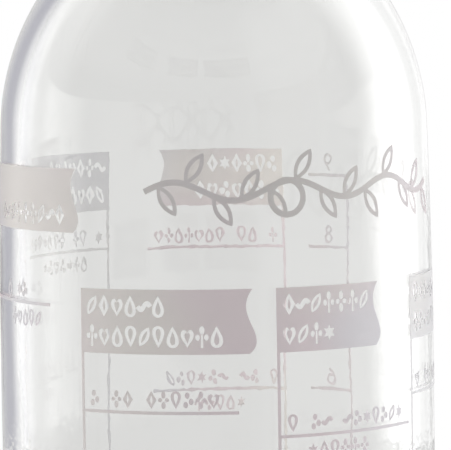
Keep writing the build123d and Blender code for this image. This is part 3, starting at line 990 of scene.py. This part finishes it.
@dataclass
class PrintOnGlass:
    """Lays flat drawings on the glass: x goes round it, y is the height and z is away from it."""

    glass: GlassBottle
    finish: Material
    gap: float = 0.02
    thickness: float = 0.04
    turn_step: float = 2.5
    height_step: float = 6.0
    sharp_angle: float = 40.0

    def lay(
        self, name: str, node: str, start_angle: float, layers: Sequence[Sequence[Loop]]
    ) -> Object:
        """Lays a drawing on the glass.

        The drawing's x is an arc's length on the body, so the angle is x over the body's radius. A point's
        place is the glass's radius at its height plus the gap and its depth, turned by that angle.

        Args:
            name: name of the piece.
            node: CAD node that the piece stands for.
            start_angle: angle of the drawing's x = 0.
            layers: loops of each layer of the drawing.

        Returns:
            The piece.
        """
        flat, triangles = filled(layers, self._cuts(layers))
        points, faces = thickened(flat, triangles)
        x, height, depth = points.T
        angle = math.radians(start_angle) + x / self.glass.body_radius
        radius = self.glass.side_radius(height) + self.gap + depth * self.thickness
        placed = np.stack([radius * np.sin(angle), -radius * np.cos(angle), height], 1)
        piece = new_piece(name, placed, faces, Body.BOTTLE, self.sharp_angle)
        piece.data.materials.append(self.finish)
        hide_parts(node)
        return piece

    def _cuts(self, layers: Sequence[Sequence[Loop]]) -> list[Loop]:
        """Lines every few degrees and, over the belly, every few millimetres, where a drawing may bend.

        Args:
            layers: loops of each layer of the drawing.

        Returns:
            Lines of two points each.
        """
        spread = np.concatenate([loop for layer in layers for loop in layer])
        low, high = spread.min(0), spread.max(0)
        wide = self.glass.body_radius * math.radians(self.turn_step)
        over = wide / 2
        upright = np.arange(low[0] + wide, high[0], wide)
        level = [y for y in np.arange(self.glass.belly_top, high[1], self.height_step) if y > low[1]]
        cuts = [np.array([(x, low[1] - over), (x, high[1] + over)]) for x in upright]
        return cuts + [np.array([(low[0] - over, y), (high[0] + over, y)]) for y in level]


@dataclass(frozen=True)
class Rule:
    """A rule of a panel: its height, its length in degrees, and the marks under and over it."""

    height: float
    length: float
    over: int
    under: int = 0
    under_start: float = 4.0
    over_start: float = 1.4


@dataclass
class RecipePanel:
    """Banner with a wavy end and knocked-out marks, its pole, and rules with marks on them."""

    name: str
    node: str
    start_angle: float
    width: float
    top: float
    rows: tuple[int, int]
    rules: tuple[Rule, ...]
    seed: int
    row_start: float = 0.95
    ink: Ink = Ink.PINK
    height: float = 9.0
    rule_width: float = 0.45
    foot: float = 12.0
    wave: tuple[Pair, ...] = ((0, 0), (0.30, -0.92), (0.55, -0.22), (0.81, 0.5), (1, -0.45))
    row_drops: Pair = (0.85, 5.05)
    over_rise: float = 0.35
    under_drop: float = 3.6

    def outline(self, radius: float) -> Loop:
        """Outline of banner, pole and rules; the banner's end is a polynomial through its wave.

        Args:
            radius: the body's radius, which turns degrees into lengths.

        Returns:
            The outline, from the banner's upper right corner.
        """
        end = math.radians(self.width) * radius
        shares = np.array(self.wave)
        bend = np.polyfit(shares[:, 0], shares[:, 1], len(shares) - 1)
        down = np.linspace(0, 1, 19)
        wave = np.stack([end + np.polyval(bend, down), self.top - self.height * down], 1)
        side = self.rule_width
        steps = [(side, self.top - self.height)]
        for rule in self.rules:
            reach = math.radians(rule.length) * radius
            steps += [(side, rule.height), (reach, rule.height)]
            steps += [(reach, rule.height - side), (side, rule.height - side)]
        steps += [(side, self.foot), (0, self.foot), (0, self.top)]
        return np.concatenate([wave, np.array(steps)])

    def marks(self) -> list[Loop]:
        """Marks knocked out of the banner, and marks on the rules, where a long row has two spaces."""
        found: list[Loop] = []
        for row, (count, drop) in enumerate(zip(self.rows, self.row_drops)):
            marks = row_of_marks(count, self.seed + 4 * row)
            found += TITLE_MARKS.loops(self.row_start, self.top - drop - TITLE_MARKS.height, marks)
        for i, rule in enumerate(self.rules):
            over = row_of_marks(rule.over, self.seed + 2 + i, (1, 4) if rule.over > 6 else (1,))
            found += LINE_MARKS.loops(rule.over_start, rule.height + self.over_rise, over)
            under = row_of_marks(rule.under, self.seed + 5 + i)
            found += LINE_MARKS.loops(rule.under_start, rule.height - self.under_drop, under)
        return found

    def build(self, surface: PrintOnGlass) -> Object:
        """Makes the panel on the glass."""
        loops = [self.outline(surface.glass.body_radius), *self.marks()]
        return surface.lay(self.name, self.node, self.start_angle, [loops])


def recipe_panels() -> list[RecipePanel]:
    """The six panels round the bottle, from the front left one towards +X."""
    low, high = 93.6, 110.2
    return [
        RecipePanel("panel_front", "print_panel_1", -36.4, 45.4, low, (6, 10),
                    (Rule(76.7, 41.6, 11), Rule(55.2, 40.0, 10), Rule(32.6, 42.0, 8)), 0),
        RecipePanel("panel_front_right", "print_panel_2", 15.0, 30.3, low, (7, 4),
                    (Rule(73.1, 43.4, 12, 6, 4.4), Rule(51.3, 36.0, 8), Rule(29.6, 30.0, 7)), 3),
        RecipePanel("panel_right", "print_panel_3", 59.9, 33.0, low, (6, 7),
                    (Rule(77.1, 36.0, 9), Rule(59.6, 32.0, 8), Rule(40.5, 35.0, 7)), 5, ink=Ink.GREY),
        RecipePanel("panel_back", "print_panel_4", 158.9, 38.1, high, (6, 7),
                    (Rule(95.0, 42.0, 12), Rule(72.6, 41.0, 11, 5, 7.2), Rule(48.8, 38.0, 8)), 2),
        RecipePanel("panel_back_left", "print_panel_5", 214.0, 41.0, high, (7, 8),
                    (Rule(95.5, 41.5, 12, 7, 4.8), Rule(58.0, 40.0, 8), Rule(36.0, 41.0, 9)),
                    6, ink=Ink.GREY),
        RecipePanel("panel_left", "print_panel_6", 262.0, 60.0, high, (0, 9),
                    (Rule(91.1, 50.7, 4, 5, 17.6, 15.8), Rule(60.0, 44.0, 12), Rule(38.0, 46.0, 11)),
                    9, 13.1),
    ]


@dataclass
class MeasureScale:
    """Upright line, up to its highest tick, with a tick and a number at each measure."""

    start_angle: float = 135.6
    tick_length: float = 8.4
    line_width: float = 0.45
    foot: float = 12.0
    highest: float = 110.2
    digit_height: float = 2.5
    digit_stroke: float = 0.38
    digit_shift: Pair = (-0.6, 0.5)
    fluid_ounce: float = 29573.5
    ounces: tuple[int, ...] = (2, 4, 6, 8, 9)
    slices: int = 4000

    def heights(self, glass: GlassBottle) -> list[float]:
        """Height of each measure: where the inside's volume, summed in thin slices, reaches it.

        The floor's corner takes a quarter circle off each slice's radius, and the floor's crown takes about
        half of a cylinder of its height.

        Args:
            glass: the bottle that is filled.

        Returns:
            The heights above the table.
        """
        inner = glass.body_radius - glass.wall
        z = np.linspace(glass.floor_edge, self.highest, self.slices)
        low = np.clip(glass.floor_edge + glass.floor_corner - z, 0, None)
        corner = glass.floor_corner - np.sqrt(np.clip(glass.floor_corner**2 - low**2, 0, None))
        crown = glass.push_up + glass.base_thickness - glass.floor_edge
        taken = np.pi * crown * (inner - glass.floor_corner) ** 2 / 2
        area = np.pi * (glass.side_radius(z) - glass.wall - corner) ** 2
        held = np.concatenate([[0], np.cumsum((area[1:] + area[:-1]) / 2 * np.diff(z))]) - taken
        return [float(np.interp(amount * self.fluid_ounce, held, z)) for amount in self.ounces]

    def build(self, surface: PrintOnGlass) -> Object:
        """Makes the scale on the glass.

        Args:
            surface: the glass and the ink that the drawing is laid with.

        Returns:
            The piece.
        """
        side = self.line_width
        outline = [(0, self.foot), (side, self.foot)]
        strokes: list[list[Loop]] = []
        for amount, height in zip(self.ounces, self.heights(surface.glass)):
            low, high = height - side / 2, height + side / 2
            outline += [(side, low), (self.tick_length, low), (self.tick_length, high), (side, high)]
            shift = np.array([self.tick_length / 2, high]) + self.digit_shift
            for path, closed in digit_strokes(str(amount)):
                strokes.append(stroke_loops(path * self.digit_height + shift, self.digit_stroke, closed))
        outline.append((0, high))
        layers = [[np.array(outline, float)], *strokes]
        return surface.lay("measure_scale", "print_scale", self.start_angle, layers)


@dataclass
class HerbVine:
    """Vine along the shoulder's edge: a waving stem, leaves to both sides and one hanging loop."""

    start_angle: float = -18.0
    span: float = 91.0
    height: float = 107.1
    wave_height: float = 1.3
    waves: int = 3
    stem: float = 0.85
    leaf: Leaf = Leaf(5.0, 2.2, 0.6)
    leaves: int = 13
    lean: float = 58.0
    loop_radius: float = 2.7
    loop_line: float = 0.3
    loop_share: float = 0.4

    def stem_point(self, share: np.ndarray, length: float) -> np.ndarray:
        """Middle of the stem: along by the share, up by a sine wave."""
        wave = self.height + self.wave_height * np.sin(2 * math.pi * self.waves * share)
        return np.stack([share * length, wave], -1)

    def build(self, surface: PrintOnGlass) -> Object:
        """Makes the vine on the glass.

        Args:
            surface: the glass and the ink that the drawing is laid with.

        Returns:
            The piece.
        """
        length = math.radians(self.span) * surface.glass.body_radius
        layers = [stroke_loops(self.stem_point(np.linspace(0, 1, 73), length), self.stem, False)]
        for i in range(self.leaves):
            direction = math.radians(self.lean if i % 2 else -self.lean)
            base = self.stem_point(np.array((i + 0.5) / self.leaves), length)
            layers.append(self.leaf.loops(base, direction))
        hang = self.stem_point(np.array(self.loop_share), length) - (0, self.loop_radius - self.stem / 2)
        ring = polar(hang, self.loop_radius - self.loop_line, whole_turn(40))
        layers.append(stroke_loops(ring, self.stem, True))
        return surface.lay("title_vine", "print_title_vine", self.start_angle, layers)


@dataclass
class SmoothedNode:
    """A CAD node's own shape, merged and shaded smooth, with its edges eased by some millimetres."""

    name: str
    node: str
    body: Body
    slot: Slot
    ease: float
    sharp_angle: float = 32.0
    eased_angle: float = 40.0
    flat_angle: float = 0.3
    merge_distance: float = 0.002

    def build(self, frame: dict, finish: Material) -> Object:
        """Makes the piece from a merged copy of the node's mesh.

        Args:
            finish: the piece's material.

        Returns:
            The piece that stands for the node.
        """
        mesh = frame["nodes"][self.node].data.copy()
        mesh.name = self.name
        made = bmesh.new()
        made.from_mesh(mesh)
        bmesh.ops.remove_doubles(made, verts=made.verts, dist=self.merge_distance * MM)
        flat = math.radians(self.flat_angle)
        bmesh.ops.dissolve_limit(made, angle_limit=flat, verts=made.verts, edges=made.edges)
        made.to_mesh(mesh)
        made.free()
        shade(mesh, self.sharp_angle)
        mesh.materials.clear()
        mesh.materials.append(finish)
        piece = add_object(self.name, mesh)
        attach(piece, self.body.value)
        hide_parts(self.node)
        bevel = piece.modifiers.new("eased_edges", "BEVEL")
        bevel.width = self.ease * MM
        bevel.segments = 2
        bevel.limit_method = "ANGLE"
        bevel.angle_limit = math.radians(self.eased_angle)
        bevel.harden_normals = True
        return piece


@dataclass
class ScrewLid:
    """Lid in its pieces: collar, gasket, pour insert, flip cap, two plugs and the hinge pin."""

    shell: MouldedFinish = MouldedFinish((0.30, 0.255, 0.265), (0.325, 0.28, 0.29))
    natural: MouldedFinish = MouldedFinish(
        (0.74, 0.735, 0.71), (0.79, 0.785, 0.765), roughness=0.36, skin_depth=0.000006, inner_light=0.15
    )
    silicone: MouldedFinish = MouldedFinish(
        (0.70, 0.70, 0.69), (0.76, 0.76, 0.75), 0.5, skin_depth=0.000008, flow_scale=80.0, inner_light=0.3
    )
    steel: SteelFinish = SteelFinish()

    def build(self, frame: dict) -> list[Object]:
        """Makes the lid's pieces.


        Returns:
            The pieces.
        """
        shell = self.shell.material("satin_shell")
        natural = self.natural.material("natural_plastic")
        silicone = self.silicone.material("silicone")
        steel = self.steel.material("drawn_steel")
        parts = [
            (SmoothedNode("lid_collar", "screw_collar", Body.LID, Slot.LID, 0.15), shell),
            (SmoothedNode("lid_flip_cap", "flip_cap", Body.CAP, Slot.LID, 0.2), shell),
            (SmoothedNode("lid_insert", "pour_insert", Body.LID, Slot.INSERT, 0.12), natural),
            (SmoothedNode("rim_seal", "rim_gasket", Body.SEAL, Slot.SEAL, 0.15), silicone),
            (SmoothedNode("plug_for_spout", "spout_plug", Body.CAP, Slot.SEAL, 0.12), silicone),
            (SmoothedNode("plug_for_vent", "vent_plug", Body.CAP, Slot.SEAL, 0.1), silicone),
            (SmoothedNode("pin_in_hinge", "hinge_pin", Body.LID, Slot.PIN, 0.1), steel),
        ]
        return [part.build(frame, finish) for part, finish in parts]


@dataclass(frozen=True)
class Card:
    """A bright or dark card round the bottle, up to a height, by its angles as seen from the bottle."""

    middle: float
    half_width: float
    soft: float
    strength: float
    top: float
    tint: Triple = (1.0, 1.0, 1.0)
    top_soft: float = 8.0

    def mask(self, tree: Tree, angle: Value, rise: Value) -> Value:
        """Share of the card in each direction.

        Args:
            tree: node tree of the surround.
            angle: angle round the bottle in degrees, from -180 to 180.
            rise: elevation in degrees.

        Returns:
            1 on the card and 0 off it, with soft edges.
        """
        away = tree.calculate("ABSOLUTE", tree.calculate("WRAP", angle - self.middle, 180.0, -180.0))
        side = away.step(self.half_width + self.soft, self.half_width - self.soft)
        return side * rise.step(self.top + self.top_soft, self.top - self.top_soft)


@dataclass(frozen=True)
class Lamp:
    """A square lamp: its name, its middle and its side in metres, and its radiance, where 1 is white."""

    name: str
    place: Triple
    strength: float
    size: float = 0.7
    aim: Triple = (0, 0, 0.09)

    def build(self) -> None:
        """Adds the lamp, which faces the bottle and isn't seen itself."""
        data = bpy.data.lights.new(self.name, "AREA")
        data.size = self.size
        data.energy = self.strength * math.pi * self.size**2
        lamp = add_object(self.name, data)
        lamp.location = self.place
        lamp.rotation_euler = (Vector(self.aim) - Vector(self.place)).to_track_quat("-Z", "Y").to_euler()
        hide(lamp, "camera", "glossy", "transmission")


@dataclass
class Studio:
    """Pale floor, plain light, the cards that the glass shows, and the photograph's camera."""

    cards: tuple[Card, ...] = (
        Card(113.0, 20.0, 9.0, 2.1, 80.0),
        Card(55.0, 30.0, 14.0, 1.2, 60.0),
        Card(-106.0, 16.0, 8.0, 1.3, 60.0),
        Card(-126.0, 6.0, 5.0, 1.7, 75.0),
        Card(-149.0, 8.0, 7.0, 0.48, 75.0, (0.96, 0.96, 1.08)),
        Card(152.0, 16.0, 2.5, 0.93, 75.0),
        Card(160.0, 4.5, 3.0, 1.12, 75.0),
    )
    lamps: tuple[Lamp, ...] = (
        Lamp("right_box", (1.02, 0.37, 0.36), 8.0),
        Lamp("left_box", (-1.08, 0.19, 0.36), 4.8),
        Lamp("back_box", (-0.1, 1.1, 0.4), 1.1),
    )
    surround_level: float = 0.765
    surround_radius: float = 500.0
    surround_wall: float = 120.0
    surround_foot: float = -10.0
    eye_height: float = 95.0
    ambient: float = 0.70
    floor_half: float = 6000.0
    floor_tone: float = 0.92
    clear_floor: Pair = (150.0, 330.0)
    camera_place: Triple = (0.0, -470.6, 133.4)
    lens: float = 255.6
    pitch: float = 4.031
    roll: float = 0.911
    yaw: float = 0.184

    def world(self) -> None:
        """Makes the world: white for the camera, gloss and glass, and an even light for the rest."""
        world = bpy.data.worlds.new("studio")
        world.use_nodes = True
        bpy.context.scene.world = world
        tree = Tree(world.node_tree)
        seen = tree.ray(DIRECT_RAYS)
        level = seen + (1 - seen) * self.ambient
        back = tree.node("ShaderNodeBackground", {}, {"Color": (1, 1, 1, 1), "Strength": level})
        tree.surface(back, "ShaderNodeOutputWorld")

    def surround(self) -> None:
        """Makes the round wall and dome that only gloss and glass show, pale but for its cards.

        Its profile is a line up the wall and a quarter circle over it. Each card adds its mask times what
        it has over the surround's level.
        """
        radius, wall, foot = self.surround_radius, self.surround_wall, self.surround_foot
        profile = [
            line((0, foot), (radius, foot), 2),
            line((radius, foot), (radius, wall), 4),
            arc((0, wall), (radius, wall), (0, wall + radius), 24),
            [(0, wall + radius)],
        ]
        surround = add_mesh("surround", *revolved(np.concatenate(profile), 96))
        made, tree = new_material("surround_cards")
        x, y, z = (tree.axis(number) for number in range(3))
        to_degrees = 180 / math.pi
        angle = tree.calculate("ARCTAN2", x, 0 - y) * to_degrees
        out = tree.calculate("SQRT", x * x + y * y)
        rise = tree.calculate("ARCTAN2", z - self.eye_height * MM, out) * to_degrees
        masks = [card.mask(tree, angle, rise) for card in self.cards]
        levels: list[Number] = []
        for channel in range(3):
            level: Number = self.surround_level
            for card, mask in zip(self.cards, masks):
                level = mask * (card.strength * card.tint[channel] - self.surround_level) + level
            levels.append(level)
        colour = tree.node("ShaderNodeCombineColor", {}, dict(enumerate(levels))).outputs[0]
        tree.surface(tree.node("ShaderNodeEmission", {}, {"Color": colour, "Strength": 1.0}))
        made.cycles.emission_sampling = "NONE"
        surround.data.materials.append(made)
        hide(surround, "camera", "diffuse", "shadow")

    def floor(self) -> None:
        """Makes the floor: matt and pale by the bottle, where the shadow is, and white farther out."""
        corners = np.array([(-1, -1, 0), (1, -1, 0), (1, 1, 0), (-1, 1, 0)]) * self.floor_half
        floor = add_mesh("floor", corners, [(0, 1, 2, 3)])
        made, tree = new_material("pale_floor")
        out = tree.value("ShaderNodeVectorMath", {"operation": "LENGTH"}, {0: tree.place()}, "Value")
        near, away = self.clear_floor
        far = out.step(near * MM, away * MM) * tree.ray(DIRECT_RAYS)
        matt = tree.node("ShaderNodeBsdfDiffuse", {}, {"Color": (*[self.floor_tone] * 3, 1)})
        level = self.surround_level + tree.ray(CAMERA_RAY) * (1 - self.surround_level)
        white = tree.node("ShaderNodeEmission", {}, {"Color": (1, 1, 1, 1), "Strength": level})
        both = {0: far, 1: matt.outputs[0], 2: white.outputs[0]}
        tree.surface(tree.node("ShaderNodeMixShader", {}, both))
        floor.data.materials.append(made)

    def camera(self) -> None:
        """Makes the photograph's camera: a level view to the front, turned by its roll, yaw and pitch."""
        data = bpy.data.cameras.new("camera")
        data.lens = self.lens
        data.clip_start = 0.01
        data.clip_end = 50.0
        camera = add_object("camera", data)
        view = Matrix.Translation(Vector(self.camera_place) * MM)
        for turn, axis in ((-self.pitch, "X"), (-self.yaw, "Z"), (90.0, "X"), (-self.roll, "Z")):
            view @= Matrix.Rotation(math.radians(turn), 4, axis)
        camera.matrix_world = view
        bpy.context.scene.camera = camera

    def build(self) -> None:
        """Sets up the studio."""
        bpy.context.scene.view_settings.view_transform = "Standard"
        self.world()
        self.surround()
        self.floor()
        for lamp in self.lamps:
            lamp.build()
        self.camera()


def report(pieces: Sequence[Object]) -> None:
    """Logs the name and the face count of each piece."""
    for piece in pieces:
        LOG.info("%s: %d faces", piece.name, len(piece.data.polygons))


def main() -> None:
    """Loads the frame, builds the bottle, its print, its lid and the studio."""
    logging.basicConfig(level=logging.INFO, format="%(name)s: %(message)s", stream=sys.stdout)
    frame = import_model()
    bottle = GlassBottle()
    report([bottle.build(GlassFinish())])
    inks = {ink: PrintOnGlass(bottle, finish.material(ink.value)) for ink, finish in INKS.items()}
    report([panel.build(inks[panel.ink]) for panel in recipe_panels()])
    report([MeasureScale().build(inks[Ink.DARK]), HerbVine().build(inks[Ink.DARK])])
    report(ScrewLid().build(frame))
    Studio().build()


if __name__ == "__main__":
    main()
